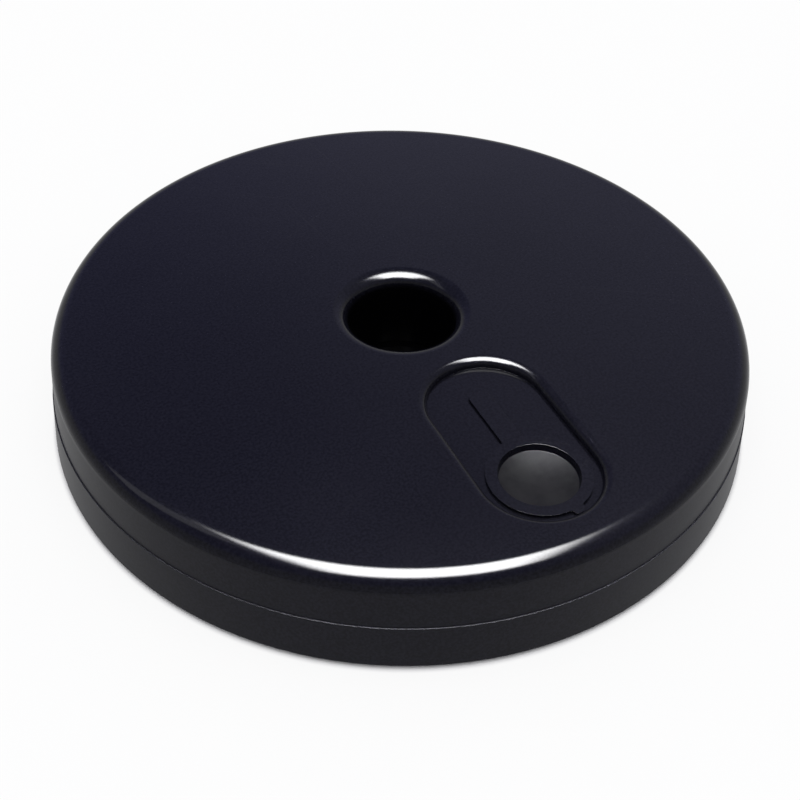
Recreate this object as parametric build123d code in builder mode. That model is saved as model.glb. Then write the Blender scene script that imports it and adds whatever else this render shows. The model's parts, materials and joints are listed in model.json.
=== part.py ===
from build123d import *
import math
import os

# Barrier post base: a round ballast base, moulded in two halves and filled with sand,
# with a socket in its middle for a 50 mm post.
# Millimetres, +Z up. The origin is on the floor under the middle of the socket.
# The filler recess and its plug lie on the -Y side, a little to the right of the middle.

# Overall shell
base_radius = 165.0
shell_height = 48.3
wall = 3.2
wall_draft = 5.2
deck_edge_radius = 8.2
bottom_edge_radius = 1.5

# Seam between the two halves: a tongue on the lower one inside the wall of the upper one
seam_height = 22.7
seam_ledge = 0.5
seam_groove = 0.1
tongue_height = 5.0
tongue_depth = 5.0
tongue_thickness = 2.2
tongue_clearance = 0.25
gasket_thickness = 1.5
shoulder_height = 2.0

# Post socket
post_diameter = 50.0
post_clearance = 0.3
socket_lip_radius = 7.2
socket_seal_thickness = 2.0
socket_seal_setback = 0.5
socket_clearance = 0.3
collar_thickness = 2.5
collar_height = 8.0
drain_radius = 3.0

# Filler recess, between the socket's lip and the rounded edge of the deck. Its middle line is off the base's,
# and its rim rolls over from the deck almost down to its floor.
recess_offset = 6.2
recess_depth = 4.5
recess_gap = 3.5
recess_land = 0.25
recess_corner_radius = 0.25
recess_edge_margin = 6.7
recess_socket_margin = 8.2

# Filler neck, plug and washer
neck_radius = 19.0
neck_overhang = 1.5
stem_clearance = 0.15
stem_length = 8.5
stem_taper = 0.8
stem_lead = 3.0
flange_overlap = 3.5
flange_thickness = 1.0
flange_edge_radius = 0.25
dish_depth = 3.5
dish_taper = 0.5
dish_sag = 2.6
dish_corner_radius = 0.25
plug_wall = 1.5
washer_thickness = 0.4
washer_inset = 0.7
pry_lug_width = 5.5
pry_lug_clearance = 0.5
pry_lug_corner_radius = 1.6
pry_lug_angle = -78.0

# Pull tab
tab_width = 10.0
tab_hinge_gap = 0.15
hinge_thinning = 0.1
tab_corner_radius = 3.4
tab_edge_radius = 0.25
lug_length = 1.1
finger_room = 16.0

# Screws and their sealing washers
screw_radius = 2.0
screw_length = 22.0
screw_fit = 0.05
screw_point = 2.0
pilot_margin = 3.0
head_radius = 4.5
head_height = 3.0
head_crown_radius = 1.2
drive_radius = 1.8
drive_depth = 1.8
well_clearance = 0.8
well_wall = 2.2
pillar_height = 10.0
pillar_gap = 3.0
seal_ring_thickness = 1.0
socket_screw_count = 3

# Ribs and feet. Rim screws and feet alternate round the base.
station_count = 6
deck_rib_height = 8.0
deck_rib_thickness = 2.2
floor_rib_depth = 2.0
floor_rib_thickness = 2.4
rim_width = 6.0
foot_radius = 12.0
foot_proud = 1.0
foot_edge_radius = 0.6
foot_clearance = 0.2
foot_wall = 2.0
foot_margin = 14.8

# Sand ballast
sand_clearance = 0.5
sand_headroom = 1.5

# Levels, from the floor up
shell_bottom = foot_proud
floor_under = shell_bottom + floor_rib_depth
floor_top = floor_under + wall
tube_end = floor_top + socket_seal_thickness
collar_top = floor_top + collar_height
landing = floor_top + pillar_height
well_top = landing - wall
boss_end = landing + seal_ring_thickness
pilot_end = well_top + screw_length + pilot_margin
seam = shell_bottom + seam_height
tongue_root = seam - tongue_depth
tongue_top = seam + tongue_height
shoulder_under = tongue_top + gasket_thickness
shoulder_top = shoulder_under + shoulder_height
shoulder_slope_top = shoulder_top + tongue_thickness
deck_top = shell_bottom + shell_height
deck_under = deck_top - wall
recess_floor = deck_top - recess_depth
recess_under = recess_floor - wall
flange_under = recess_floor + washer_thickness
flange_top = flange_under + flange_thickness
dish_edge = flange_top - dish_depth
dish_middle = dish_edge - dish_sag
dish_under = dish_middle - plug_wall
stem_end = recess_floor - stem_length
neck_end = stem_end - neck_overhang
sand_top = neck_end - sand_headroom


def lower_outer(z):
    """Outside radius of the lower shell's drafted wall at a level."""
    return base_radius - (z - shell_bottom) * math.tan(math.radians(wall_draft))


def lower_inner(z):
    """Inside radius of the lower shell's wall."""
    return lower_outer(z) - wall


def upper_outer(z):
    """Outside radius of the upper shell's wall, set back from the lower one."""
    return lower_outer(z) - seam_ledge


def upper_inner(z):
    """Inside radius of the upper shell's wall."""
    return upper_outer(z) - wall


def tongue_outer(z):
    """Outside radius of the tongue that stands up inside the upper shell."""
    return upper_inner(z) - tongue_clearance


# Socket radii
bore_radius = post_diameter / 2 + post_clearance
tube_radius = bore_radius + wall
collar_inner = tube_radius + socket_clearance
collar_outer = collar_inner + collar_thickness

# Rim radii. The rounded inside corner of the deck stops short of the gasket's shoulder.
tongue_inner = tongue_outer(tongue_top) - tongue_thickness
tongue_slope = lower_inner(tongue_root) - tongue_inner
inside_edge_radius = min(deck_edge_radius - wall, 0.9 * (deck_under - shoulder_slope_top))

# Plug and recess sizes, and the distance of the plug from the middle of the base
stem_radius = neck_radius - stem_clearance
dish_radius = stem_radius - plug_wall
flange_radius = neck_radius + flange_overlap
recess_radius = flange_radius + recess_gap
recess_lip_radius = recess_depth - recess_corner_radius - recess_land
recess_lip_reach = recess_radius + recess_lip_radius
pry_lug_reach = recess_gap - pry_lug_clearance
deck_flat_radius = upper_outer(deck_top) - deck_edge_radius
plug_distance = deck_flat_radius - recess_edge_margin - recess_lip_reach
socket_lip_reach = bore_radius + socket_lip_radius
recess_length = plug_distance - recess_lip_reach - recess_socket_margin - socket_lip_reach

# Pull tab, from the lug on the flange to the finger room at the inner end of the recess
lug_face_y = flange_radius + lug_length - plug_distance
hinge_radius = flange_thickness / 2 - hinge_thinning
hinge_y = lug_face_y + tab_hinge_gap + hinge_radius
hinge_z = flange_under + flange_thickness / 2
tab_end_y = recess_length + recess_radius - finger_room - plug_distance

# Screw and foot circles
well_radius = head_radius + well_clearance
pillar_radius = well_radius + well_wall
screw_hole_radius = screw_radius + screw_fit
rim_screw_circle = tongue_inner - pillar_radius - pillar_gap
socket_screw_circle = collar_outer + pillar_radius + pillar_gap
foot_pocket_radius = foot_radius + foot_clearance
foot_circle = base_radius - rim_width - foot_pocket_radius - foot_wall - foot_margin
middle_ring_radius = (collar_outer + foot_circle) / 2

# Places of what repeats. No socket screw stands on the recess's side.
rim_screw_places = PolarLocations(rim_screw_circle, station_count).locations
socket_screw_places = PolarLocations(socket_screw_circle, socket_screw_count, start_angle=90).locations
screw_places = rim_screw_places + socket_screw_places
foot_places = PolarLocations(foot_circle, station_count, start_angle=180 / station_count).locations
plug_place = (recess_offset, -plug_distance)
plug_axis = Axis((recess_offset, -plug_distance, 0), (0, 0, 1))


def level(z):
    """A level plane over the origin."""
    return Plane.XY.offset(z)


def recess_level(z):
    """A level plane centred on the recess, with the recess's length along its X."""
    return Plane((recess_offset, recess_length / 2 - plug_distance, z), x_dir=(0, 1, 0))


def corner(profile, radius, z):
    """The corner of a profile nearest to a radius and a level."""
    return profile.vertices().sort_by_distance((radius, z, 0))[0]


os.makedirs("parts", exist_ok=True)

# Upper shell: deck, upper wall and post tube in one turned section
with BuildPart() as upper_shell:
    with BuildSketch(Plane.XZ) as upper_section:
        with BuildLine():
            Polyline(
                (upper_outer(seam), seam),
                (upper_outer(deck_top), deck_top),
                (bore_radius, deck_top),
                (bore_radius, tube_end),
                (tube_radius, tube_end),
                (tube_radius, deck_under),
                (upper_inner(deck_under), deck_under),
                (upper_inner(shoulder_slope_top), shoulder_slope_top),
                (tongue_inner, shoulder_top),
                (tongue_inner, shoulder_under),
                (upper_inner(shoulder_under), shoulder_under),
                (upper_inner(seam), seam),
                close=True,
            )
        make_face()
        fillet(corner(upper_section, upper_outer(deck_top), deck_top), deck_edge_radius)
        fillet(corner(upper_section, bore_radius, deck_top), socket_lip_radius)
        fillet(corner(upper_section, tube_radius, deck_under), socket_lip_radius - wall)
        fillet(corner(upper_section, upper_inner(deck_under), deck_under), inside_edge_radius)
        chamfer(corner(upper_section, upper_outer(seam), seam), seam_groove)
    revolve(axis=Axis.Z)

    # Pan that carries the recess, and the filler neck below it
    with BuildSketch(recess_level(recess_under)):
        SlotCenterToCenter(recess_length, 2 * (recess_radius + wall))
    extrude(amount=deck_under - recess_under)
    with BuildSketch(level(neck_end)):
        with Locations(plug_place):
            Circle(neck_radius + wall)
    extrude(amount=recess_under - neck_end)

    # Ribs under the deck, and bosses for the screws
    with BuildSketch(level(deck_under - deck_rib_height)):
        with PolarLocations((tube_radius + rim_screw_circle) / 2, station_count):
            Rectangle(rim_screw_circle - tube_radius + wall, deck_rib_thickness)
    extrude(amount=deck_rib_height)
    with BuildSketch(level(boss_end)):
        with Locations(screw_places):
            Circle(pillar_radius)
    extrude(amount=deck_under - boss_end)
    with BuildSketch(level(boss_end)):
        with Locations(screw_places):
            Circle(screw_hole_radius)
    extrude(amount=pilot_end - boss_end, mode=Mode.SUBTRACT)

    # Recess with its rolled lip and rounded floor
    with BuildSketch(recess_level(recess_floor)):
        SlotCenterToCenter(recess_length, 2 * recess_radius)
    extrude(amount=recess_depth, mode=Mode.SUBTRACT)
    level_faces = upper_shell.faces().filter_by(Axis.Z)
    recess_face = level_faces.sort_by_distance((recess_offset, -plug_distance, recess_floor))[0]
    fillet(recess_face.outer_wire().edges(), recess_corner_radius)
    deck_face = upper_shell.faces().filter_by(Axis.Z).sort_by(Axis.Z)[-1]
    recess_rim = deck_face.inner_wires().sort_by(SortBy.LENGTH)[-1]
    fillet(recess_rim.edges(), recess_lip_radius)

    # Bore of the filler neck
    with BuildSketch(level(neck_end)):
        with Locations(plug_place):
            Circle(neck_radius)
    extrude(amount=recess_floor - neck_end, mode=Mode.SUBTRACT)
upper_shell.part.label = "upper_shell"
export_step(upper_shell.part, "parts/upper_shell.step")

# Lower shell: floor, lower wall with its tongue, and the collar round the foot of the post tube
with BuildPart() as lower_shell:
    with BuildSketch(Plane.XZ) as lower_section:
        with BuildLine():
            Polyline(
                (base_radius, shell_bottom),
                (lower_outer(seam), seam),
                (tongue_outer(seam), seam),
                (tongue_outer(tongue_top), tongue_top),
                (tongue_inner, tongue_top),
                (tongue_inner, tongue_root),
                (lower_inner(tongue_root - tongue_slope), tongue_root - tongue_slope),
                (lower_inner(floor_top), floor_top),
                (collar_outer, floor_top),
                (collar_outer, collar_top),
                (collar_inner, collar_top),
                (collar_inner, floor_top),
                (0, floor_top),
                (0, floor_under),
                (base_radius - rim_width, floor_under),
                (base_radius - rim_width, shell_bottom),
                close=True,
            )
        make_face()
        fillet(corner(lower_section, base_radius, shell_bottom), bottom_edge_radius)
        fillet(corner(lower_section, lower_outer(seam), seam), seam_groove)
    revolve(axis=Axis.Z)

    # Ribs, rings and foot rings under the floor
    with BuildSketch(level(shell_bottom)):
        with PolarLocations((collar_inner + base_radius - rim_width) / 2, 2 * station_count):
            Rectangle(base_radius - rim_width - collar_inner, floor_rib_thickness)
    extrude(amount=floor_rib_depth)
    for ring_radius in (collar_outer, middle_ring_radius):
        with BuildSketch(level(shell_bottom)):
            Circle(ring_radius)
            Circle(ring_radius - floor_rib_thickness, mode=Mode.SUBTRACT)
        extrude(amount=floor_rib_depth)
    with BuildSketch(level(shell_bottom)):
        with Locations(foot_places):
            Circle(foot_pocket_radius + foot_wall)
    extrude(amount=floor_rib_depth)
    with BuildSketch(level(shell_bottom)):
        with Locations(foot_places):
            Circle(foot_pocket_radius)
    extrude(amount=floor_rib_depth, mode=Mode.SUBTRACT)

    # Screw pillars, their wells from below and their holes
    with BuildSketch(level(shell_bottom)):
        with Locations(screw_places):
            Circle(pillar_radius)
    extrude(amount=landing - shell_bottom)
    with BuildSketch(level(shell_bottom)):
        with Locations(screw_places):
            Circle(well_radius)
    extrude(amount=well_top - shell_bottom, mode=Mode.SUBTRACT)
    with BuildSketch(level(well_top)):
        with Locations(screw_places):
            Circle(screw_hole_radius)
    extrude(amount=landing - well_top, mode=Mode.SUBTRACT)

    # Drain in the floor of the socket
    with BuildSketch(level(floor_under)):
        Circle(drain_radius)
    extrude(amount=wall, mode=Mode.SUBTRACT)
lower_shell.part.label = "lower_shell"
export_step(lower_shell.part, "parts/lower_shell.step")

# Rim gasket: a flat ring on the tongue, squeezed under the upper shell's shoulder
with BuildPart() as rim_gasket:
    with BuildSketch(level(tongue_top)):
        Circle(tongue_outer(shoulder_under))
        Circle(tongue_inner, mode=Mode.SUBTRACT)
    extrude(amount=gasket_thickness)
rim_gasket.part.label = "rim_gasket"
export_step(rim_gasket.part, "parts/rim_gasket.step")

# Socket seal: a flat ring under the foot of the post tube, set back from the bore so that no post drags on it
with BuildPart() as socket_seal:
    with BuildSketch(level(floor_top)):
        Circle(tube_radius)
        Circle(bore_radius + socket_seal_setback, mode=Mode.SUBTRACT)
    extrude(amount=socket_seal_thickness)
socket_seal.part.label = "socket_seal"
export_step(socket_seal.part, "parts/socket_seal.step")

# Sealing washers between the screw pillars and the bosses above them
with BuildPart() as screw_washers:
    with BuildSketch(level(landing)):
        with Locations(screw_places):
            Circle(pillar_radius)
            Circle(screw_hole_radius, mode=Mode.SUBTRACT)
    extrude(amount=seal_ring_thickness)
screw_washers.part.label = "screw_washers"
export_step(screw_washers.part, "parts/screw_washers.step")

# Shell screws: crowned heads with a hexagon socket in the wells, points up in the bosses
with BuildPart() as shell_screws:
    with BuildSketch(level(well_top - head_height)):
        with Locations(screw_places):
            Circle(head_radius)
    extrude(amount=head_height)
    fillet(shell_screws.edges().group_by(Axis.Z)[0], head_crown_radius)
    with BuildSketch(level(well_top)):
        with Locations(screw_places):
            Circle(screw_radius)
    extrude(amount=screw_length)
    chamfer(shell_screws.edges().group_by(Axis.Z)[-1], screw_point, screw_radius / 2)
    with BuildSketch(level(well_top - head_height)):
        with Locations(screw_places):
            RegularPolygon(drive_radius, 6)
    extrude(amount=drive_depth, mode=Mode.SUBTRACT)
shell_screws.part.label = "shell_screws"
export_step(shell_screws.part, "parts/shell_screws.step")

# Foot pads: rubber discs pressed into the rings under the floor
for number, place in enumerate(foot_places, start=1):
    with BuildPart() as foot_pad:
        with BuildSketch(Plane.XY):
            with Locations(place):
                Circle(foot_radius)
        extrude(amount=floor_under)
        fillet(foot_pad.edges().group_by(Axis.Z)[0], foot_edge_radius)
    foot_pad.part.label = f"foot_pad_{number}"
    export_step(foot_pad.part, f"parts/foot_pad_{number}.step")

# Filler plug: flange ring, bowl-shaped dish, hollow stem, the lug that carries the pull tab,
# and a small lug at the outer end, under which the plug is pried up
with BuildPart() as filler_plug:
    plug_plane = Plane((recess_offset, -plug_distance, 0), x_dir=(1, 0, 0), z_dir=(0, -1, 0))
    with BuildSketch(plug_plane) as plug_section:
        with BuildLine():
            Polyline(
                (dish_radius - dish_taper, dish_edge),
                (dish_radius, flange_top),
                (flange_radius, flange_top),
                (flange_radius, flange_under),
                (stem_radius, flange_under),
                (stem_radius, stem_end + stem_lead),
                (stem_radius - stem_taper, stem_end),
                (dish_radius, stem_end),
                (dish_radius, dish_under),
                (0, dish_under),
                (0, dish_middle),
            )
            TangentArc((0, dish_middle), (dish_radius - dish_taper, dish_edge), tangent=(1, 0))
        make_face()
        fillet(corner(plug_section, dish_radius, flange_top), dish_corner_radius)
        fillet(corner(plug_section, dish_radius - dish_taper, dish_edge), dish_corner_radius)
    revolve(axis=plug_axis)
    lug_root_y = (dish_radius + flange_radius) / 2 - plug_distance
    with BuildSketch(level(flange_under)):
        with Locations((recess_offset, (lug_root_y + lug_face_y) / 2)):
            Rectangle(tab_width, lug_face_y - lug_root_y)
        with Locations(plug_place):
            with PolarLocations(flange_radius, 1, start_angle=pry_lug_angle):
                RectangleRounded(2 * pry_lug_reach, pry_lug_width, pry_lug_corner_radius)
    extrude(amount=flange_thickness)
    flange_face = filler_plug.faces().filter_by(Axis.Z).sort_by(Axis.Z)[-1]
    fillet(flange_face.outer_wire().edges(), flange_edge_radius)
filler_plug.part.label = "filler_plug"
export_step(filler_plug.part, "parts/filler_plug.step")

# Plug washer: a flat ring under the flange, round the stem
with BuildPart() as plug_washer:
    with BuildSketch(level(recess_floor)):
        with Locations(plug_place):
            Circle(flange_radius - washer_inset)
            Circle(neck_radius, mode=Mode.SUBTRACT)
    extrude(amount=washer_thickness)
plug_washer.part.label = "plug_washer"
export_step(plug_washer.part, "parts/plug_washer.step")

# Pull tab: a flat tongue with a round root, thinner than the rest, on the hinge line
with BuildPart() as pull_tab:
    with BuildSketch(Plane.YZ.offset(recess_offset - tab_width / 2)):
        with Locations((hinge_y, hinge_z)):
            Circle(hinge_radius)
        with Locations(((hinge_y + tab_end_y) / 2, hinge_z)):
            Rectangle(tab_end_y - hinge_y, flange_thickness)
    extrude(amount=tab_width)
    free_end = pull_tab.faces().sort_by(Axis.Y)[-1]
    fillet(free_end.edges().filter_by(Axis.Z), tab_corner_radius)
    tab_top = pull_tab.faces().filter_by(Axis.Z).sort_by(Axis.Z)[-1]
    root_edge = tab_top.edges().sort_by(Axis.Y)[0]
    fillet(tab_top.edges() - [root_edge], tab_edge_radius)
pull_tab.part.label = "pull_tab"
export_step(pull_tab.part, "parts/pull_tab.step")

# Sand ballast: a level fill round the collar and the screw pillars
with BuildPart() as sand_ballast:
    with BuildSketch(level(floor_top)):
        Circle(tongue_inner - sand_clearance)
        Circle(collar_outer + sand_clearance, mode=Mode.SUBTRACT)
        with Locations(screw_places):
            Circle(pillar_radius + sand_clearance, mode=Mode.SUBTRACT)
    extrude(amount=sand_top - floor_top)
sand_ballast.part.label = "sand_ballast"
export_step(sand_ballast.part, "parts/sand_ballast.step")
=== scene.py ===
import json
import math

import bpy
from mathutils import Matrix, Quaternion, Vector
from mathutils.geometry import intersect_sphere_sphere_2d, tessellate_polygon


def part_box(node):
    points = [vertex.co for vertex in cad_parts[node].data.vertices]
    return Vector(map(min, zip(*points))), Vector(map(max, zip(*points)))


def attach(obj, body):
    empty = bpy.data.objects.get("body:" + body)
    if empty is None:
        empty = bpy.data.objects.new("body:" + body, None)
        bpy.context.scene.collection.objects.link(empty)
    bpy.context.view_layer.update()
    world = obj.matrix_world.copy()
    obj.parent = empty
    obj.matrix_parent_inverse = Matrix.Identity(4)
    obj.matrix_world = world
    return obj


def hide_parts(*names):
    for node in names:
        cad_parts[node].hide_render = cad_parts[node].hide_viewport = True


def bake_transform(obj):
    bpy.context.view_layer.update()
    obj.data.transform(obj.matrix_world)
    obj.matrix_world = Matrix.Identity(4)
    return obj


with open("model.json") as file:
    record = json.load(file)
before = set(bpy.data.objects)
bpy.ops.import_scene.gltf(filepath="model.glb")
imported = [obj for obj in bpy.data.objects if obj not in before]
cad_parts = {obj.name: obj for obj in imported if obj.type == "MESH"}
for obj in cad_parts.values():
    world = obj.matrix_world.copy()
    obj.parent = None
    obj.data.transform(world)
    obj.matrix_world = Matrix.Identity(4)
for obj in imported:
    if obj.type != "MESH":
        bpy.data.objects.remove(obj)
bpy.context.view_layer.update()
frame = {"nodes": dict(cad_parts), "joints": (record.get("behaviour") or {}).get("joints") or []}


# Lower shell.
# The dished lower half of the base, injection moulded in black polyethylene, with floor ribs and screw
# wells on its underside. Its rim stands a little proud of the upper half, which drops over its tongue.
mm = 0.001
nodes = frame["nodes"]
shell_black_dark = (0.0021, 0.0021, 0.0042, 1)
shell_black_pale = (0.0077, 0.0077, 0.0126, 1)
shell_scuff_grey = (0.024, 0.024, 0.026, 1)
# Painted shade: the near black that darkens the inside of the post socket, where the bore lies in shadow.
socket_painted_shade = (0.0012, 0.0012, 0.0016, 1)
shell_gloss = 0.07
shell_satin = 0.135
satin_spread = 0.012
wall_satin = 0.40
wall_fade = (40.0 * mm, 46.0 * mm)
rim_fade = (152.0 * mm, 158.0 * mm)
socket_satin = 0.12
socket_side_fade = (25.4 * mm, 26.4 * mm)
socket_top_fade = (40.5 * mm, 45.5 * mm)
socket_floor_fade = (5.1 * mm, 5.6 * mm)
mottle_per_metre = 9
mottle_range = (0.25, 0.75)
mottle_share = 0.2
grain_per_metre = 850
grain_range = (0.3, 0.7)
grain_share = 0.8
grain_height = 0.012 * mm
ripple_per_metre = 70
ripple_height = 0.05 * mm
rubbed_per_metre = 11
rubbed_range = (0.48, 0.66)
# Each set of scratches: how many to the metre, how drawn out, which way in plan, and from what level.
scratch_sets = ((420, 60, 0.5, 0.70), (520, 75, 1.75, 0.71), (460, 75, 2.6, 0.71))
scratch_fade = 0.08
scratch_wear = 0.10
nicks_per_metre = 330
nick_range = (0.66, 0.76)
nick_wear = 0.07
wear_satin = 0.5
wear_depth = 0.01 * mm


def new_finish(name, gloss):
    """A finish with its node tree, its shader, and the point on the piece that its patterns follow."""
    finish = bpy.data.materials.new(name)
    finish.use_nodes = True
    tree = finish.node_tree
    shader = tree.nodes["Principled BSDF"]
    shader.inputs["Specular IOR Level"].default_value = gloss
    place = tree.nodes.new("ShaderNodeTexCoord").outputs["Object"]
    return finish, tree, shader, place


def speckle(tree, place, per_metre, detail=3):
    """A noise pattern with so many blotches to the metre."""
    noise = tree.nodes.new("ShaderNodeTexNoise")
    noise.inputs["Scale"].default_value = per_metre
    noise.inputs["Detail"].default_value = detail
    tree.links.new(place, noise.inputs["Vector"])
    return noise.outputs["Fac"]


def streaks(tree, place, per_metre, length, turn):
    """A noise pattern drawn out so many times along one direction in plan."""
    mapping = tree.nodes.new("ShaderNodeMapping")
    mapping.vector_type = "TEXTURE"
    mapping.inputs["Rotation"].default_value = (0, 0, turn)
    mapping.inputs["Scale"].default_value = (length, 1, 1)
    tree.links.new(place, mapping.inputs["Vector"])
    return speckle(tree, mapping.outputs["Vector"], per_metre, detail=1)


def span(tree, value, levels, results=(0, 1)):
    """A value carried smoothly from between two levels to between two results, and held at the ends."""
    scale = tree.nodes.new("ShaderNodeMapRange")
    scale.interpolation_type = "SMOOTHSTEP"
    for socket, number in zip(("From Min", "From Max", "To Min", "To Max"), levels + results):
        scale.inputs[socket].default_value = number
    tree.links.new(value, scale.inputs["Value"])
    return scale.outputs["Result"]


def combine(tree, operation, first, second):
    """Two values, or a value and a plain number, put together."""
    result = tree.nodes.new("ShaderNodeMath")
    result.operation = operation
    tree.links.new(first, result.inputs[0])
    if isinstance(second, (int, float)):
        result.inputs[1].default_value = second
    else:
        tree.links.new(second, result.inputs[1])
    return result.outputs["Value"]


def add_shares(tree, total, *terms):
    """A value with others added to it, each of them times a plain number."""
    for value, share in terms:
        total = combine(tree, "ADD", total, combine(tree, "MULTIPLY", value, share))
    return total


def tint(tree, share, first, second):
    """A colour between two, by a share that varies over the surface."""
    mix = tree.nodes.new("ShaderNodeMix")
    mix.data_type = "RGBA"
    for name, colour in (("A", first), ("B", second)):
        target = next(socket for socket in mix.inputs if socket.name == name and socket.type == "RGBA")
        if isinstance(colour, tuple):
            target.default_value = colour
        else:
            tree.links.new(colour, target)
    tree.links.new(share, mix.inputs["Factor"])
    return next(socket for socket in mix.outputs if socket.type == "RGBA")


def relief(tree, shader, *layers):
    """Surface relief from several patterns, each with its height in metres."""
    below = None
    for pattern, height in layers:
        bump = tree.nodes.new("ShaderNodeBump")
        bump.inputs["Distance"].default_value = height
        tree.links.new(pattern, bump.inputs["Height"])
        if below:
            tree.links.new(below, bump.inputs["Normal"])
        below = bump.outputs["Normal"]
    tree.links.new(below, shader.inputs["Normal"])


def across_and_up(tree, place):
    """The distance of a point from the upright axis of the base, and its height."""
    level = tree.nodes.new("ShaderNodeVectorMath")
    level.operation = "MULTIPLY"
    level.inputs[1].default_value = (1, 1, 0)
    tree.links.new(place, level.inputs[0])
    apart = tree.nodes.new("ShaderNodeVectorMath")
    apart.operation = "LENGTH"
    tree.links.new(level.outputs["Vector"], apart.inputs[0])
    split = tree.nodes.new("ShaderNodeSeparateXYZ")
    tree.links.new(place, split.inputs["Vector"])
    return apart.outputs["Value"], split.outputs["Z"]


def hairline_scratches(tree, place):
    """Fine scratches in several directions, in the patches where the surface has been rubbed."""
    hairs = None
    for per_metre, length, turn, level in scratch_sets:
        scratch = span(tree, streaks(tree, place, per_metre, length, turn), (level, level + scratch_fade))
        hairs = combine(tree, "MAXIMUM", hairs, scratch) if hairs else scratch
    rubbed = span(tree, speckle(tree, place, rubbed_per_metre, detail=1), rubbed_range)
    return combine(tree, "MULTIPLY", hairs, rubbed)


def socket_inside(tree, apart, height):
    """One on the inside of the post socket, fading out below its lip, and nothing elsewhere; it places the
    painted shade in the bore and the bore's smoother finish.
    """
    side = span(tree, apart, socket_side_fade, (1, 0))
    below_lip = span(tree, height, socket_top_fade, (1, 0))
    above_floor = span(tree, height, socket_floor_fade)
    return combine(tree, "MULTIPLY", combine(tree, "MULTIPLY", side, below_lip), above_floor)


def moulded_black(name, satin):
    """Black polyethylene with fine grain, flow mottle, scratches, a nicked rim, a duller side wall and
    painted shade inside the post socket.
    """
    finish, tree, shader, place = new_finish(name, shell_gloss)
    apart, height = across_and_up(tree, place)
    mottle = speckle(tree, place, mottle_per_metre, detail=2)
    grain = speckle(tree, place, grain_per_metre)
    ripple = speckle(tree, place, ripple_per_metre, detail=1)
    rim = span(tree, apart, rim_fade)
    nicks = combine(tree, "MULTIPLY", rim, span(tree, speckle(tree, place, nicks_per_metre), nick_range))
    scratches = combine(tree, "MULTIPLY", hairline_scratches(tree, place), scratch_wear)
    wear = add_shares(tree, scratches, (nicks, nick_wear))
    inside = socket_inside(tree, apart, height)
    side_wall = combine(tree, "MULTIPLY", rim, span(tree, height, wall_fade, (1, 0)))

    mottle_flecks = span(tree, mottle, mottle_range, (0, mottle_share))
    flecks = add_shares(tree, mottle_flecks, (span(tree, grain, grain_range), grain_share))
    black = tint(tree, flecks, shell_black_dark, shell_black_pale)
    black = tint(tree, wear, black, shell_scuff_grey)
    # Painted shade: inside the post socket the colour turns near black, standing in for the bore's shadow.
    black = tint(tree, inside, black, socket_painted_shade)
    tree.links.new(black, shader.inputs["Base Color"])

    polish = add_shares(
        tree,
        span(tree, mottle, mottle_range, (satin - satin_spread, satin + satin_spread)),
        (wear, wear_satin),
        (side_wall, wall_satin - satin),
        (inside, socket_satin - satin),
    )
    tree.links.new(polish, shader.inputs["Roughness"])
    relief(tree, shader, (ripple, ripple_height), (grain, grain_height), (wear, -wear_depth))
    return finish


def dress(node, finish):
    """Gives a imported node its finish."""
    nodes[node].data.materials.clear()
    nodes[node].data.materials.append(finish)


shell_black = moulded_black("shell_black", shell_satin)
dress("lower_shell", shell_black)


# Foot pads.
# Six rubber discs, cut from pebbled sheet and pressed into the rings under the floor, so that the base
# does not slide. Dust has settled into their skin.
pad_count = 6
pad_rubber_dark = (0.020, 0.020, 0.020, 1)
pad_rubber_pale = (0.055, 0.053, 0.050, 1)
pad_gloss = 0.3
pad_pebbles_per_metre = 900
pad_pebble_height = 0.2 * mm
dust_per_metre = 45
dust_colour_range = (0.35, 0.75)
dust_satin_range = (0.3, 0.7)
rubber_satin = (0.68, 0.9)
pores_per_metre = 1800
pore_height = 0.02 * mm


def cells(tree, place, per_metre):
    """A pattern of close-packed cells, so many to the metre."""
    pattern = tree.nodes.new("ShaderNodeTexVoronoi")
    pattern.inputs["Scale"].default_value = per_metre
    tree.links.new(place, pattern.inputs["Vector"])
    return pattern


def rubber(name, gloss, dark, pale, pebbles_per_metre, pebble_height):
    """Matte rubber with a pebbled skin and a bloom of dust."""
    finish, tree, shader, place = new_finish(name, gloss)
    dust = speckle(tree, place, dust_per_metre, detail=5)
    colour = tint(tree, span(tree, dust, dust_colour_range), dark, pale)
    tree.links.new(colour, shader.inputs["Base Color"])
    tree.links.new(span(tree, dust, dust_satin_range, rubber_satin), shader.inputs["Roughness"])
    pebbles = cells(tree, place, pebbles_per_metre).outputs["Distance"]
    pores = speckle(tree, place, pores_per_metre)
    relief(tree, shader, (pebbles, pebble_height), (pores, pore_height))
    return finish


pad_rubber = rubber(
    "pad_rubber", pad_gloss, pad_rubber_dark, pad_rubber_pale,
    pad_pebbles_per_metre, pad_pebble_height)
for number in range(1, pad_count + 1):
    dress(f"foot_pad_{number}", pad_rubber)


# Socket seal, rim gasket and screw washers.
# Flat rings of black sealing rubber: under the foot of the post tube, along the tongue at the seam, and
# between the screw pillars and their bosses. They keep the ballast in when the halves are drawn together.
seal_rubber_dark = (0.0030, 0.0030, 0.0034, 1)
seal_rubber_pale = (0.0060, 0.0060, 0.0066, 1)
seal_gloss = 0.0
seal_pebbles_per_metre = 2400
seal_pebble_height = 0.04 * mm
seal_rubber = rubber(
    "seal_rubber", seal_gloss, seal_rubber_dark, seal_rubber_pale,
    seal_pebbles_per_metre, seal_pebble_height)
for ring in ("socket_seal", "rim_gasket", "screw_washers"):
    dress(ring, seal_rubber)


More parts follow.
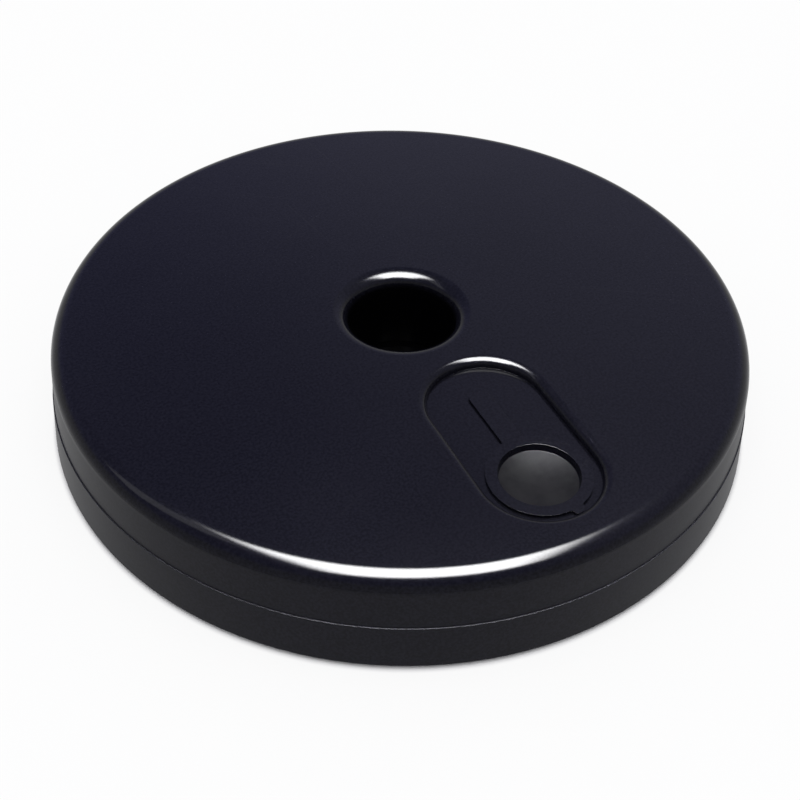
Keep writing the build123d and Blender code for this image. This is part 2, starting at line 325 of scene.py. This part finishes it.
# Sand ballast.
# Dry sand of mixed pale and brown grains, poured in through the filler neck. It fills the base round the
# collar and the screw pillars, and lies a little uneven.
sand_shade = (0.16, 0.115, 0.062, 1)
sand_light = (0.62, 0.50, 0.33, 1)
sand_gloss = 0.35
sand_satin = (0.55, 0.95)
sand_grains_per_metre = 1700
sand_grain_height = 0.6 * mm
sand_heaps_per_metre = 90
sand_heap_height = 2.0 * mm
sand_finish, sand_tree, sand_shader, sand_place = new_finish("dry_sand", sand_gloss)
sand_grains = cells(sand_tree, sand_place, sand_grains_per_metre)
sand_split = sand_tree.nodes.new("ShaderNodeSeparateColor")
sand_tree.links.new(sand_grains.outputs["Color"], sand_split.inputs["Color"])
sand_colour = tint(sand_tree, sand_split.outputs["Red"], sand_shade, sand_light)
sand_tree.links.new(sand_colour, sand_shader.inputs["Base Color"])
sand_polish = span(sand_tree, sand_split.outputs["Green"], (0, 1), sand_satin)
sand_tree.links.new(sand_polish, sand_shader.inputs["Roughness"])
sand_heaps = speckle(sand_tree, sand_place, sand_heaps_per_metre)
relief(
    sand_tree, sand_shader,
    (sand_heaps, sand_heap_height), (sand_grains.outputs["Distance"], -sand_grain_height))
dress("sand_ballast", sand_finish)


# Upper shell.
# The deck, the upper half of the wall, the tube of the post socket and the filler recess with its neck,
# all one moulding in black polyethylene. It drops over the tongue of the lower half, and screws from
# below hold it down.
shell_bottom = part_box("lower_shell")[0].z
tube_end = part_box("upper_shell")[0].z
deck_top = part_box("upper_shell")[1].z
recess_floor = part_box("plug_washer")[0].z
base_radius = 165.0 * mm
seam = 23.7 * mm
seam_ledge = 0.5 * mm
seam_chamfer = 0.1 * mm
wall = 3.2 * mm
draft = math.radians(5.2)
deck_under = deck_top - wall
deck_edge_radius = 8.2 * mm
bore_radius = 25.3 * mm
socket_lip_radius = 7.2 * mm
recess_middle = Vector((6.2 * mm, -115.204 * mm))
recess_length = 44.504 * mm
recess_radius = 26.0 * mm
recess_under = recess_floor - wall
recess_lip_radius = 4.0 * mm
recess_corner_radius = 0.03 * mm
neck_radius = 19.0 * mm
neck_edge_radius = 0.4 * mm
neck_end = 34.8 * mm
base_sides = 320
socket_sides = 200
recess_end_sides = 110
neck_sides = 160
deck_edge_steps = 28
socket_lip_steps = 24
recess_lip_steps = 20
small_edge_steps = 5
diagonal = math.sqrt(0.5)


class Skin:
    """Gathers the faces of one moulding, with the true normal at each corner of each face."""

    def __init__(self):
        self.points = []
        self.faces = []
        self.normals = []
        self.finishes = []

    def ring(self, places):
        """Adds points, and gives back their numbers."""
        start = len(self.points)
        self.points.extend(places)
        return range(start, len(self.points))

    def face(self, corners, normals, finish):
        """Adds a face that looks the way its normals point."""
        first, second, third = (self.points[corner] for corner in corners[:3])
        looks = (second - first).cross(third - first)
        if looks.dot(sum(normals, Vector((0, 0, 0)))) < 0:
            corners = corners[::-1]
            normals = normals[::-1]
        self.faces.append(corners)
        self.normals.extend(normals)
        self.finishes.append(finish)

    def bridge(self, first, second, first_normals, second_normals, finish=0):
        """A band of faces between two rings of the same count."""
        count = len(first)
        for here in range(count):
            after = (here + 1) % count
            self.face(
                (first[here], first[after], second[after], second[here]),
                (first_normals[here], first_normals[after], second_normals[after], second_normals[here]),
                finish,
            )

    def sweep(self, outline, runs, start=None, finish=0):
        """Carries a section along an outline, and gives back its first and last rings.

        The section is made of smooth runs. Their steps hold reach, height and the normal's two shares.
        """
        first = last = start
        for run in runs:
            for number, (reach, height, outward, upward) in enumerate(run):
                facing = [Vector((way.x * outward, way.y * outward, upward)) for spot, way in outline]
                if number or last is None:
                    spots = [spot + way * reach for spot, way in outline]
                    ring = self.ring([Vector((spot.x, spot.y, height)) for spot in spots])
                    if number:
                        self.bridge(last, ring, last_facing, facing, finish)
                    last = ring
                    if first is None:
                        first = ring
                last_facing = facing
        return first, last

    def fill(self, rings, upward, finish=0):
        """A flat face inside the first ring, with the other rings as holes."""
        numbers = [number for ring in rings for number in ring]
        facing = (Vector((0, 0, upward)),) * 3
        for corners in tessellate_polygon([[self.points[number] for number in ring] for ring in rings]):
            self.face(tuple(numbers[corner] for corner in corners), facing, finish)

    def piece(self, name, finishes):
        """The finished mesh as an object in the scene."""
        mesh = bpy.data.meshes.new(name)
        mesh.from_pydata(self.points, [], self.faces)
        for finish in finishes:
            mesh.materials.append(finish)
        mesh.polygons.foreach_set("material_index", self.finishes)
        mesh.polygons.foreach_set("use_smooth", [True] * len(self.faces))
        mesh.normals_split_custom_set([normal.normalized() for normal in self.normals])
        piece = bpy.data.objects.new(name, mesh)
        bpy.context.scene.collection.objects.link(piece)
        return piece


def arc(centre, radius, start, end, count, outward=1):
    """Points of an arc with their outward ways, its last point left to the next piece of the outline."""
    points = []
    for step in range(count):
        angle = start + (end - start) * step / count
        way = Vector((math.cos(angle), math.sin(angle)))
        points.append((centre + way * radius, way * outward))
    return points


def circle(centre, count):
    """An outline of no size with ways all round it, along which a section is turned on an axis."""
    return arc(Vector(centre), 0, 0, math.tau, count)


def rounding(centre_reach, centre_height, radius, start, end, count, outward=1):
    """Steps of a rounded edge in a section, between two angles in degrees, or of a hollow one for -1."""
    steps = []
    for step in range(count + 1):
        angle = math.radians(start + (end - start) * step / count)
        across, up = math.cos(angle), math.sin(angle)
        reach = centre_reach + across * radius
        height = centre_height + up * radius
        steps.append((reach, height, across * outward, up * outward))
    return steps


def wall_radius(height):
    """Outside radius of the upper wall at a height."""
    return base_radius - seam_ledge - (height - shell_bottom) * math.tan(draft)


upper_skin = Skin()
lean = (math.cos(draft), math.sin(draft))
inward_lean = (-lean[0], -lean[1])
edge_height = deck_top - deck_edge_radius
edge_reach = wall_radius(edge_height) - deck_edge_radius / math.cos(draft)
rim_inside = (wall_radius(seam) - wall, seam)
rim_outside = (wall_radius(seam) - seam_chamfer, seam)
chamfer_top = (wall_radius(seam + seam_chamfer), seam + seam_chamfer)
deck_edge = rounding(edge_reach, edge_height, deck_edge_radius, math.degrees(draft), 90, deck_edge_steps)
round_base = circle((0, 0), base_sides)
rim_ring, deck_rim = upper_skin.sweep(round_base, [
    [(*rim_inside, 0, -1), (*rim_outside, 0, -1)],
    [(*rim_outside, diagonal, -diagonal), (*chamfer_top, diagonal, -diagonal)],
    [(*chamfer_top, *lean), (*deck_edge[0][:2], *lean)],
    deck_edge,
])
lining_top = (wall_radius(deck_under) - wall, deck_under)
lining_run = [(*rim_inside, *inward_lean), (*lining_top, *inward_lean)]
lining_ring = upper_skin.sweep(round_base, [lining_run], start=rim_ring)[1]

lip_reach = bore_radius + socket_lip_radius
lip_height = deck_top - socket_lip_radius
socket_mouth, tube_ring = upper_skin.sweep(circle((0, 0), socket_sides), [
    rounding(lip_reach, lip_height, socket_lip_radius, 90, 180, socket_lip_steps),
    [(bore_radius, lip_height, -1, 0), (bore_radius, tube_end, -1, 0)],
    [(bore_radius, tube_end, 0, -1), (bore_radius + wall, tube_end, 0, -1)],
    [(bore_radius + wall, tube_end, 1, 0), (bore_radius + wall, deck_under, 1, 0)],
])

recess_inner_middle = recess_middle + Vector((0, recess_length))
recess_outline = (
    arc(recess_middle, recess_radius, math.pi, math.tau, recess_end_sides)
    + arc(recess_inner_middle, recess_radius, 0, math.pi, recess_end_sides))
recess_wall_top = deck_top - recess_lip_radius
recess_wall_foot = recess_floor + recess_corner_radius
recess_mouth, recess_edge = upper_skin.sweep(recess_outline, [
    rounding(recess_lip_radius, recess_wall_top, recess_lip_radius, 90, 180, recess_lip_steps),
    [(0, recess_wall_top, -1, 0), (0, recess_wall_foot, -1, 0)],
    rounding(-recess_corner_radius, recess_wall_foot, recess_corner_radius, 0, -90, small_edge_steps, -1),
])
pan_run = [(wall, deck_under, 1, 0), (wall, recess_under, 1, 0)]
pan_mouth, pan_edge = upper_skin.sweep(recess_outline, [pan_run])

neck_edge_reach = neck_radius + neck_edge_radius
neck_edge_height = recess_floor - neck_edge_radius
neck_mouth, neck_foot = upper_skin.sweep(circle(recess_middle, neck_sides), [
    rounding(neck_edge_reach, neck_edge_height, neck_edge_radius, 90, 180, small_edge_steps),
    [(neck_radius, neck_edge_height, -1, 0), (neck_radius, neck_end, -1, 0)],
    [(neck_radius, neck_end, 0, -1), (neck_radius + wall, neck_end, 0, -1)],
    [(neck_radius + wall, neck_end, 1, 0), (neck_radius + wall, recess_under, 1, 0)],
])
upper_skin.fill([deck_rim, socket_mouth, recess_mouth], 1)
upper_skin.fill([recess_edge, neck_mouth], 1)
upper_skin.fill([lining_ring, tube_ring, pan_mouth], -1)
upper_skin.fill([pan_edge, neck_foot], -1)
upper_moulding = upper_skin.piece("upper_moulding", [shell_black])
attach(upper_moulding, "base")
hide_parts("upper_shell")


# Shell screws.
# Zinc-plated steel screws with crowned hexagon-socket heads, driven up from the wells in the underside
# through the pillars of the lower half into the bosses of the upper one.
zinc_dull = (0.40, 0.40, 0.39, 1)
zinc_bright = (0.66, 0.66, 0.62, 1)
zinc_gloss = 0.5
zinc_satin = (0.5, 0.3)
zinc_bloom_per_metre = 420
zinc_bloom_range = (0.3, 0.7)
zinc_pits_per_metre = 3200
zinc_pit_height = 0.02 * mm
screw_zinc, zinc_tree, zinc_shader, zinc_place = new_finish("screw_zinc", zinc_gloss)
zinc_shader.inputs["Metallic"].default_value = 1.0
zinc_bloom = speckle(zinc_tree, zinc_place, zinc_bloom_per_metre, detail=5)
zinc_colour = tint(zinc_tree, span(zinc_tree, zinc_bloom, zinc_bloom_range), zinc_dull, zinc_bright)
zinc_tree.links.new(zinc_colour, zinc_shader.inputs["Base Color"])
zinc_polish = span(zinc_tree, zinc_bloom, zinc_bloom_range, zinc_satin)
zinc_tree.links.new(zinc_polish, zinc_shader.inputs["Roughness"])
zinc_pits = speckle(zinc_tree, zinc_place, zinc_pits_per_metre)
relief(zinc_tree, zinc_shader, (zinc_pits, zinc_pit_height))
dress("shell_screws", screw_zinc)


# Filler plug and its washer.
# A push-in plug of softer black polyethylene: a flange ring with a small lug to pry it by, a bowl-shaped
# dish with a coarse spark-eroded floor, and a hollow stem that grips the neck. A flat rubber washer under
# the flange keeps the sand in.
flange_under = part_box("plug_washer")[1].z
flange_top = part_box("filler_plug")[1].z
stem_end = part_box("filler_plug")[0].z
flange_radius = 22.5 * mm
flange_edge_radius = 0.02 * mm
lug_half_width = 2.75 * mm
lug_reach = 3.0 * mm
lug_corner_radius = 1.6 * mm
lug_root_radius = 1.2 * mm
lug_turn = math.radians(12.0)
dish_radius = 17.35 * mm
dish_foot_height = 42.7 * mm
dish_under = 38.6 * mm
dish_taper = 0.5 * mm
dish_wall_lean = 0.15
dish_corner_radius = 0.12 * mm
dish_sag = 2.6 * mm
dish_middle_radius = 0.4 * mm
stem_radius = 18.85 * mm
stem_taper = 0.8 * mm
stem_lead = 3.0 * mm
stem_lead_lean = 0.26
flange_sides = 170
plug_sides = 160
lug_corner_steps = 10
lug_root_steps = 8
plug_edge_steps = 6
dish_steps = 24
plug_satin = 0.15
dish_dark = (0.012, 0.012, 0.014, 1)
dish_pale = (0.023, 0.023, 0.025, 1)
dish_gloss = 0.008
dish_satin = (0.36, 0.31)
dish_mottle_per_metre = 110
dish_mottle_range = (0.3, 0.7)
dish_mottle_height = 0.10 * mm
dish_sparks_per_metre = 1500
dish_spark_height = 0.05 * mm
plug_black = moulded_black("plug_black", plug_satin)
dish_matte, dish_tree, dish_shader, dish_place = new_finish("dish_matte", dish_gloss)
dish_mottle = speckle(dish_tree, dish_place, dish_mottle_per_metre, detail=5)
dish_sparks = speckle(dish_tree, dish_place, dish_sparks_per_metre, detail=4)
dish_colour = tint(dish_tree, span(dish_tree, dish_mottle, dish_mottle_range), dish_dark, dish_pale)
dish_tree.links.new(dish_colour, dish_shader.inputs["Base Color"])
dish_polish = span(dish_tree, dish_mottle, dish_mottle_range, dish_satin)
dish_tree.links.new(dish_polish, dish_shader.inputs["Roughness"])
relief(dish_tree, dish_shader, (dish_mottle, dish_mottle_height), (dish_sparks, dish_spark_height))


def flange_outline():
    """The round flange with its pry lug, all in tangent arcs, turned to where the lug is."""
    half_turn = math.pi
    down = 1.5 * half_turn
    corner = Vector((
        lug_half_width - lug_corner_radius,
        lug_corner_radius - flange_radius - lug_reach,
    ))
    roots = intersect_sphere_sphere_2d(
        (0, 0), flange_radius + lug_root_radius, corner, lug_corner_radius + lug_root_radius)
    root = Vector(max(roots, key=lambda spot: spot[0]))
    from_middle = math.atan2(root.y, root.x)
    from_corner = math.atan2(root.y - corner.y, root.x - corner.x)
    left_corner = Vector((-corner.x, corner.y))
    left_root = Vector((-root.x, root.y))
    upright = (
        arc(Vector((0, 0)), flange_radius, from_middle, half_turn - from_middle, flange_sides)
        + arc(left_root, lug_root_radius, -from_middle, -from_corner, lug_root_steps, -1)
        + arc(left_corner, lug_corner_radius, half_turn - from_corner, down, lug_corner_steps)
        + arc(corner, lug_corner_radius, down - math.tau, from_corner, lug_corner_steps)
        + arc(root, lug_root_radius, from_corner + half_turn, from_middle + half_turn, lug_root_steps, -1)
    )
    turned = Matrix.Rotation(lug_turn, 2)
    return [(recess_middle + turned @ spot, turned @ way) for spot, way in upright]


def dish_curve(inner, edge, count):
    """Steps of the dish's bowl, from near its middle to its edge."""
    steps = []
    for step in range(count + 1):
        radius = inner + (edge - inner) * step / count
        slope = 2 * dish_sag * radius / edge ** 2
        drop = dish_sag * (1 - (radius / edge) ** 2)
        steps.append((radius, dish_foot_height - drop, -slope, 1))
    return steps


plug_skin = Skin()
plug_turn = circle(recess_middle, plug_sides)
dish_wall_foot = dish_radius - dish_taper
dish_edge = dish_wall_foot - dish_corner_radius
dish_corner_height = dish_foot_height + dish_corner_radius
dish_lip = dish_radius + dish_corner_radius
dish_lip_height = flange_top - dish_corner_radius
bowl = dish_curve(dish_middle_radius, dish_edge, dish_steps)
dish_middle, dish_rim = plug_skin.sweep(plug_turn, [bowl], finish=1)
plug_skin.fill([dish_middle], 1, finish=1)
dish_wall = [
    (dish_wall_foot, dish_corner_height, -1, dish_wall_lean),
    (dish_radius, dish_lip_height, -1, dish_wall_lean),
]
flange_inside = plug_skin.sweep(plug_turn, [
    rounding(dish_edge, dish_corner_height, dish_corner_radius, -90, 0, small_edge_steps, -1),
    dish_wall,
    rounding(dish_lip, dish_lip_height, dish_corner_radius, 180, 90, plug_edge_steps),
], start=dish_rim)[1]
flange_edge_height = flange_top - flange_edge_radius
flange_shoulder, flange_foot = plug_skin.sweep(flange_outline(), [
    rounding(-flange_edge_radius, flange_edge_height, flange_edge_radius, 90, 0, plug_edge_steps),
    [(0, flange_edge_height, 1, 0), (0, flange_under, 1, 0)],
])
lead_start = stem_end + stem_lead
lead_end = stem_radius - stem_taper
stem_root, stem_inside = plug_skin.sweep(plug_turn, [
    [(stem_radius, flange_under, 1, 0), (stem_radius, lead_start, 1, 0)],
    [(stem_radius, lead_start, 1, -stem_lead_lean), (lead_end, stem_end, 1, -stem_lead_lean)],
    [(lead_end, stem_end, 0, -1), (dish_radius, stem_end, 0, -1)],
    [(dish_radius, stem_end, -1, 0), (dish_radius, dish_under, -1, 0)],
])
plug_skin.fill([flange_shoulder, flange_inside], 1)
plug_skin.fill([flange_foot, stem_root], -1)
plug_skin.fill([stem_inside], -1)
plug_moulding = plug_skin.piece("plug_moulding", [plug_black, dish_matte])
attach(plug_moulding, "plug")
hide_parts("filler_plug")
dress("plug_washer", seal_rubber)


# Pull tab.
# A flat tongue, moulded in one with the plug. It bends up at a living hinge, which is thinned from below
# beside the flange, so that a fingertip can lift its free end and draw the plug.
tab_low, tab_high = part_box("pull_tab")
tab_joint = next(joint for joint in frame["joints"] if joint["name"] == "tab_lift")
hinge_line = Vector(tab_joint["pos_m"])
tab_half_width = (tab_high.x - tab_low.x) / 2
tab_under = tab_low.z
tab_step = 0.08 * mm
tab_top = flange_top - tab_step
tab_root = -94.4 * mm
tab_hinge_start = -93.1 * mm
tab_end = tab_high.y
tab_end_inset = 0.2 * mm
tab_end_lean = 0.2
tab_corner_radius = 3.4 * mm
tab_edge_radius = 0.25 * mm
tab_least_half_width = 1.2 * tab_edge_radius
tab_top_shares = (0.6, 0.0, -0.6)
hinge_thinning = 0.45 * mm
hinge_reach = 0.9 * mm
hinge_steps = 18
tab_straight_steps = 6
tab_corner_steps = 16
tab_edge_steps = 5


def tab_ring(along, half_width, turn, inset):
    """Places and normals of one ring round the tab.

    Turn is the way that the tab's side faces in plan, and inset draws the ring in at the rounded end.
    """
    near_hinge = max(0.0, 1 - abs(along - hinge_line.y) / (2 * hinge_reach))
    under = tab_under + hinge_thinning * near_hinge ** 2 * (3 - 2 * near_hinge) + inset
    top = tab_top - inset
    half = max(half_width - inset, tab_least_half_width)
    flat_half = half - tab_edge_radius
    section = []
    for step in range(tab_edge_steps + 1):
        angle = math.pi / 2 * step / tab_edge_steps
        across, up = math.cos(angle), math.sin(angle)
        reach = flat_half + across * tab_edge_radius
        section.append((reach, top - tab_edge_radius + up * tab_edge_radius, across, up))
    for share in tab_top_shares:
        section.append((flat_half * share, top, 0, 1))
    for reach, height, across, up in section[tab_edge_steps::-1]:
        section.append((-reach, height, -across, up))
    section.append((-half, under, -diagonal, -diagonal))
    section.append((half, under, diagonal, -diagonal))
    places = []
    normals = []
    for reach, height, across, up in section:
        places.append(Vector((hinge_line.x + reach, along, height)))
        normals.append(Vector((across * math.cos(turn), abs(across) * math.sin(turn), up)))
    return places, normals


tab_skin = Skin()
tab_straight_end = tab_end - tab_corner_radius
tab_stations = [(tab_root, tab_half_width, 0), (tab_hinge_start, tab_half_width, 0)]
for step in range(hinge_steps + 1):
    from_hinge = (2 * step / hinge_steps - 1) * 2 * hinge_reach
    tab_stations.append((hinge_line.y + from_hinge, tab_half_width, 0))
hinge_end = tab_stations[-1][0]
for step in range(1, tab_straight_steps + 1):
    share = step / tab_straight_steps
    tab_stations.append((hinge_end * (1 - share) + tab_straight_end * share, tab_half_width, 0))
for step in range(1, tab_corner_steps + 1):
    angle = math.pi / 2 * step / tab_corner_steps
    half = tab_half_width - tab_corner_radius * (1 - math.cos(angle))
    along = tab_straight_end + (tab_corner_radius - tab_edge_radius) * math.sin(angle)
    tab_stations.append((along, half, angle))
tab_rings = []
for along, half, turn in tab_stations:
    places, normals = tab_ring(along, half, turn, 0)
    tab_rings.append((tab_skin.ring(places), normals))
for (ring, normals), (next_ring, next_normals) in zip(tab_rings, tab_rings[1:]):
    tab_skin.bridge(ring, next_ring, normals, next_normals)
end_places = tab_ring(tab_end, tab_half_width - tab_corner_radius, math.pi / 2, tab_end_inset)[0]
end_ring = tab_skin.ring(end_places)
end_facing = [Vector((0, 1, tab_end_lean))] * len(end_places)
tab_skin.bridge(tab_rings[-1][0], end_ring, tab_rings[-1][1], end_facing)
tab_skin.face(tuple(end_ring), (Vector((0, 1, 0)),) * len(end_ring), 0)
tab_skin.face(tuple(tab_rings[0][0]), (Vector((0, -1, 0)),) * len(end_ring), 0)
tab_moulding = tab_skin.piece("tab_moulding", [plug_black])
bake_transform(tab_moulding)
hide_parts("pull_tab")


# Studio.
# A white paper floor, and one large soft lamp high overhead for the light. A bright panel close above the
# base and a dim one to its left show in gloss alone. The pale room is dim overhead and brighter towards
# one side.
floor_radius = 4.0
floor_sides = 96
floor_level = -0.1 * mm
floor_white = (0.95, 0.95, 0.95, 1)
floor_shade = (0.93, 0.93, 0.933, 1)
floor_fibres_per_metre = 30
floor_glow_share = 0.85
floor_glow_fade = (164.4 * mm, 167.0 * mm)
white = (1.0, 1.0, 1.0, 1)


def seen_rays(tree):
    """One for a ray from the camera, from a reflection or through clear matter, and nothing for others."""
    ray = tree.nodes.new("ShaderNodeLightPath")
    seen = combine(tree, "MAXIMUM", ray.outputs["Is Camera Ray"], ray.outputs["Is Glossy Ray"])
    return combine(tree, "MAXIMUM", seen, ray.outputs["Is Transmission Ray"])


floor_skin = Skin()
floor_spots = arc(Vector((0, 0)), floor_radius, 0, math.tau, floor_sides)
floor_ring = floor_skin.ring([Vector((spot.x, spot.y, floor_level)) for spot, way in floor_spots])
floor_skin.fill([floor_ring], 1)
paper, paper_tree, paper_shader, paper_place = new_finish("floor_paper", 0.0)
paper_fibres = speckle(paper_tree, paper_place, floor_fibres_per_metre, detail=4)
paper_colour = tint(paper_tree, paper_fibres, floor_white, floor_shade)
paper_tree.links.new(paper_colour, paper_shader.inputs["Base Color"])
paper_shader.inputs["Roughness"].default_value = 1.0
paper_glow = paper_tree.nodes.new("ShaderNodeEmission")
paper_glow.inputs["Color"].default_value = white
paper_glow.inputs["Strength"].default_value = 1.0
paper_apart = across_and_up(paper_tree, paper_place)[0]
paper_share = span(paper_tree, paper_apart, floor_glow_fade, (0, floor_glow_share))
paper_seen = combine(paper_tree, "MULTIPLY", seen_rays(paper_tree), paper_share)
paper_mix = paper_tree.nodes.new("ShaderNodeMixShader")
paper_tree.links.new(paper_seen, paper_mix.inputs["Fac"])
paper_tree.links.new(paper_shader.outputs["BSDF"], paper_mix.inputs[1])
paper_tree.links.new(paper_glow.outputs["Emission"], paper_mix.inputs[2])
paper_tree.links.new(paper_mix.outputs["Shader"], paper_tree.nodes["Material Output"].inputs["Surface"])
floor = floor_skin.piece("floor", [paper])

# Places and sizes of the lamps are in metres, and their powers in watts. A panel that looks down aims a
# millimetre beyond the point below it, which gives its turn about the upright a start.
overhead_place = (-0.25, -0.55, 4.0)
overhead_aim = (0, 0, 0)
overhead_size = (3.6, 3.6)
overhead_power = 75.0
sheen_place = (-0.45, 0.11, 0.40)
sheen_aim = (-0.45, 0.111, 0)
sheen_size = (0.44, 0.15)
sheen_power = 0.7
sheen_turn = math.radians(-32.0)
gloss_place = (-0.049, -0.160, 0.40)
gloss_aim = (-0.049, -0.159, 0)
gloss_size = (0.477, 0.436)
gloss_power = 126.0
gloss_turn = math.radians(-15.0)
gloss_edge_fade = 0.25
scatter_limit = 0.5


def panel(name, place, aim, size, power, turn=0.0):
    """A rectangular lamp at a place, which looks at another, turned about its line of sight."""
    lamp_data = bpy.data.lights.new(name, "AREA")
    lamp_data.shape = "RECTANGLE"
    lamp_data.size, lamp_data.size_y = size
    lamp_data.energy = power
    lamp = bpy.data.objects.new(name, lamp_data)
    bpy.context.scene.collection.objects.link(lamp)
    lamp.location = place
    lamp.rotation_mode = "QUATERNION"
    looks_at = (Vector(aim) - Vector(place)).to_track_quat("-Z", "Y")
    lamp.rotation_quaternion = looks_at @ Quaternion((0, 0, 1), turn)
    lamp.visible_camera = False
    return lamp


overhead_lamp = panel("overhead_lamp", overhead_place, overhead_aim, overhead_size, overhead_power)
overhead_lamp.visible_glossy = False
sheen_panel = panel("sheen_panel", sheen_place, sheen_aim, sheen_size, sheen_power, sheen_turn)
sheen_panel.visible_diffuse = False
gloss_panel = panel("gloss_panel", gloss_place, gloss_aim, gloss_size, gloss_power, gloss_turn)
gloss_panel.visible_diffuse = False
gloss_panel.data.use_nodes = True
gloss_tree = gloss_panel.data.node_tree
gloss_spot = gloss_tree.nodes.new("ShaderNodeSeparateXYZ")
gloss_across = gloss_tree.nodes.new("ShaderNodeNewGeometry").outputs["Parametric"]
gloss_tree.links.new(gloss_across, gloss_spot.inputs["Vector"])
gloss_depth = gloss_tree.nodes.new("ShaderNodeLightPath").outputs["Diffuse Depth"]
gloss_level = combine(gloss_tree, "LESS_THAN", gloss_depth, scatter_limit)
for side in ("X", "Y"):
    fade_in = span(gloss_tree, gloss_spot.outputs[side], (0, gloss_edge_fade))
    fade_out = span(gloss_tree, gloss_spot.outputs[side], (1 - gloss_edge_fade, 1), (1, 0))
    fade = combine(gloss_tree, "MULTIPLY", fade_in, fade_out)
    gloss_level = combine(gloss_tree, "MULTIPLY", gloss_level, fade)
gloss_tree.links.new(gloss_level, gloss_tree.nodes["Emission"].inputs["Strength"])

room_fill = (0.62, 0.62, 0.64, 1)
room_dim = (0.60, 0.60, 1.12, 1)
room_bright = (1.08, 1.08, 1.56, 1)
room_bright_way = (0.92, 0, -0.39)
room_bright_range = (-0.12, 0.20)
room_overhead_range = (0.12, 0.50)
room = bpy.data.worlds.new("pale_room")
bpy.context.scene.world = room
room.use_nodes = True
room_tree = room.node_tree
room_light = room_tree.nodes["Background"]
room_light.inputs["Color"].default_value = room_fill
room_light.inputs["Strength"].default_value = 1.0
room_seen = room_tree.nodes.new("ShaderNodeBackground")
room_way = room_tree.nodes.new("ShaderNodeTexCoord").outputs["Generated"]
room_height = room_tree.nodes.new("ShaderNodeSeparateXYZ")
room_tree.links.new(room_way, room_height.inputs["Vector"])
room_side = room_tree.nodes.new("ShaderNodeVectorMath")
room_side.operation = "DOT_PRODUCT"
room_side.inputs[1].default_value = room_bright_way
room_tree.links.new(room_way, room_side.inputs[0])
room_brightness = span(room_tree, room_side.outputs["Value"], room_bright_range)
room_above = tint(room_tree, room_brightness, room_dim, room_bright)
room_overhead = span(room_tree, room_height.outputs["Z"], room_overhead_range)
room_colour = tint(room_tree, room_overhead, white, room_above)
room_camera = room_tree.nodes.new("ShaderNodeLightPath").outputs["Is Camera Ray"]
room_tree.links.new(tint(room_tree, room_camera, room_colour, white), room_seen.inputs["Color"])
room_mix = room_tree.nodes.new("ShaderNodeMixShader")
room_tree.links.new(seen_rays(room_tree), room_mix.inputs["Fac"])
room_tree.links.new(room_light.outputs["Background"], room_mix.inputs[1])
room_tree.links.new(room_seen.outputs["Background"], room_mix.inputs[2])
room_tree.links.new(room_mix.outputs["Shader"], room_tree.nodes["World Output"].inputs["Surface"])
bpy.context.scene.view_settings.view_transform = "Standard"


# Camera.
# It stands where the photograph was taken from, on the plug's side and left of it, and has the
# photograph's slight roll. Lens and sensor are in millimetres.
camera_turn = math.radians(-27.5)
camera_rise = math.radians(42.906)
camera_distance = 626.3 * mm
camera_roll = math.radians(1.985)
camera_foot = Vector((0, 0, shell_bottom))
camera_aim = Vector((-4.414 * mm, -9.521 * mm, shell_bottom))
camera_sensor = 36.0
camera_lens = 57.37
camera_data = bpy.data.cameras.new("camera")
camera_data.sensor_width = camera_sensor
camera_data.lens = camera_lens
camera_way = Vector((
    math.sin(camera_turn) * math.cos(camera_rise),
    -math.cos(camera_turn) * math.cos(camera_rise),
    math.sin(camera_rise),
))
camera_place = camera_foot + camera_way * camera_distance
forward = (camera_aim - camera_place).normalized()
right = forward.cross(Vector((0, 0, 1))).normalized()
upright = right.cross(forward)
rolled_right = right * math.cos(camera_roll) + upright * math.sin(camera_roll)
rolled_up = upright * math.cos(camera_roll) - right * math.sin(camera_roll)
camera = bpy.data.objects.new("camera", camera_data)
bpy.context.scene.collection.objects.link(camera)
camera.matrix_world = Matrix((rolled_right, rolled_up, -forward)).transposed().to_4x4()
camera.matrix_world.translation = camera_place
bpy.context.scene.camera = camera
